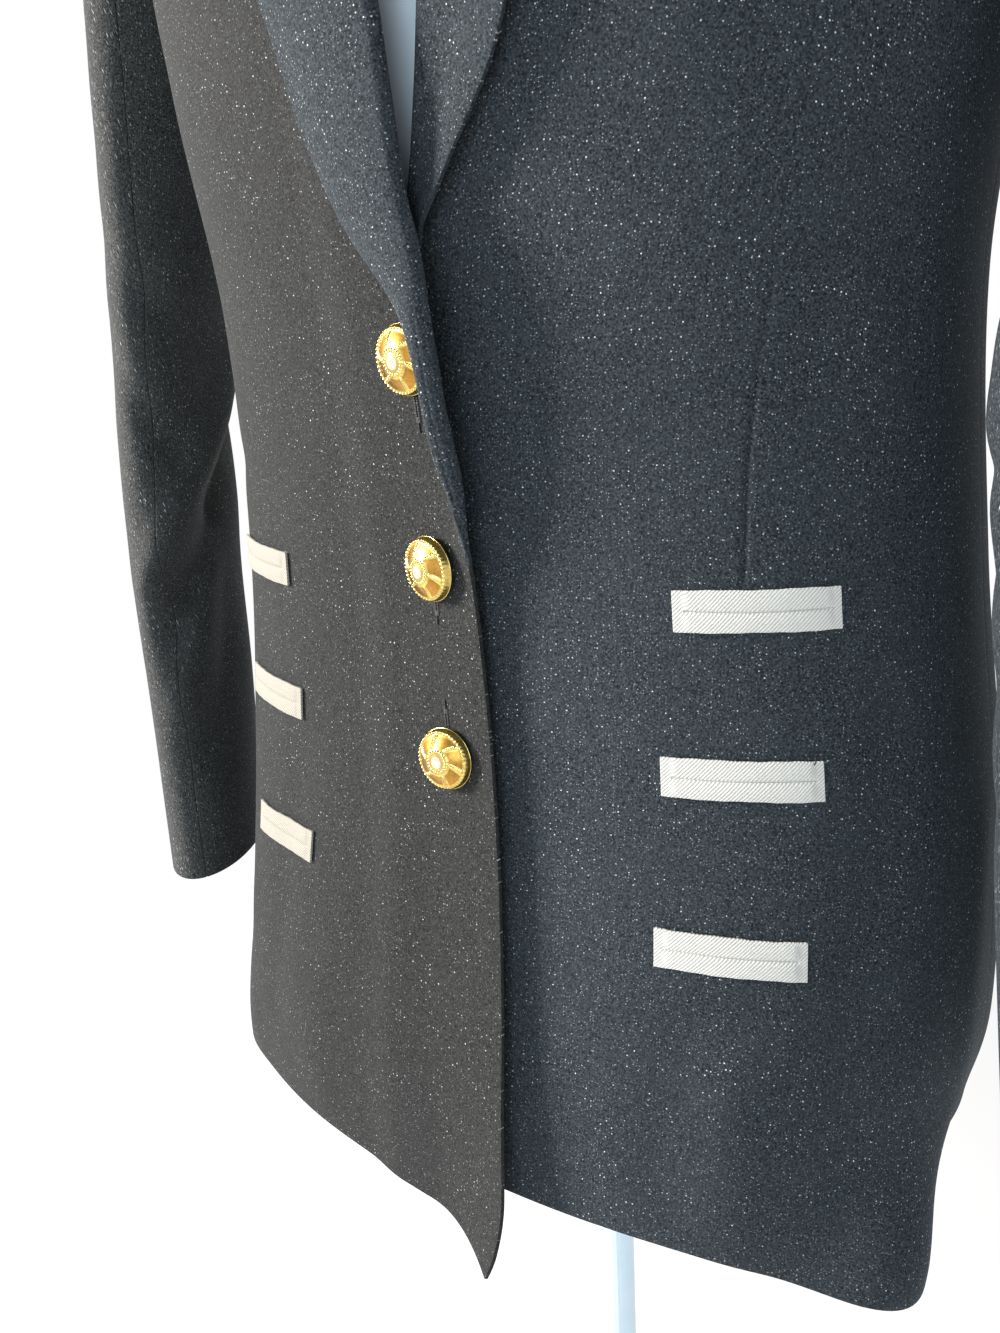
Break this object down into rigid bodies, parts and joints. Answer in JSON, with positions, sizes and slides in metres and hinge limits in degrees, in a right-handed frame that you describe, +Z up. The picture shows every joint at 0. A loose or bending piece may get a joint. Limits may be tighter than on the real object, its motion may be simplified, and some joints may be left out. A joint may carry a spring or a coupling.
{
  "type": "pilot uniform jacket on a dress form stand",
  "caption": "Tailored uniform jacket with lapels, domed buttons and ivory double welt pockets, buttoned over a limbless dress form on a pole with a round base.",
  "frame": {"origin": "centre of the base's underside, on the floor under the pole", "axes": "+Z up along the pole, the jacket's front faces -Y, and the wearer's left is +X"},
  "size_m": [0.5602, 0.3413, 1.496],
  "materials": {
    "black_crepe": "matt crepe with small silvery flecks",
    "ivory_twill": "matt twill",
    "gold_metal": "polished, in relief",
    "white_form": "smooth matt white",
    "white_paint": "satin white"
  },
  "bodies": {
    "root": {"front_right": "black_crepe", "front_left": "black_crepe", "back_left": "black_crepe", "back_right": "black_crepe", "lapel_right": "black_crepe", "lapel_left": "black_crepe", "collar": "black_crepe", "sleeve_upper_right": "black_crepe", "sleeve_upper_left": "black_crepe", "sleeve_under_right": "black_crepe", "sleeve_under_left": "black_crepe", "welt_upper_right": "ivory_twill", "welt_middle_right": "ivory_twill", "welt_lower_right": "ivory_twill", "welt_upper_left": "ivory_twill", "welt_middle_left": "ivory_twill", "welt_lower_left": "ivory_twill", "button_upper": "gold_metal", "button_middle": "gold_metal", "button_lower": "gold_metal", "dress_form": "white_form", "stand_pole": "white_paint", "stand_base": "white_paint", "stand_hub": "white_paint"}
  },
  "joints": []
}
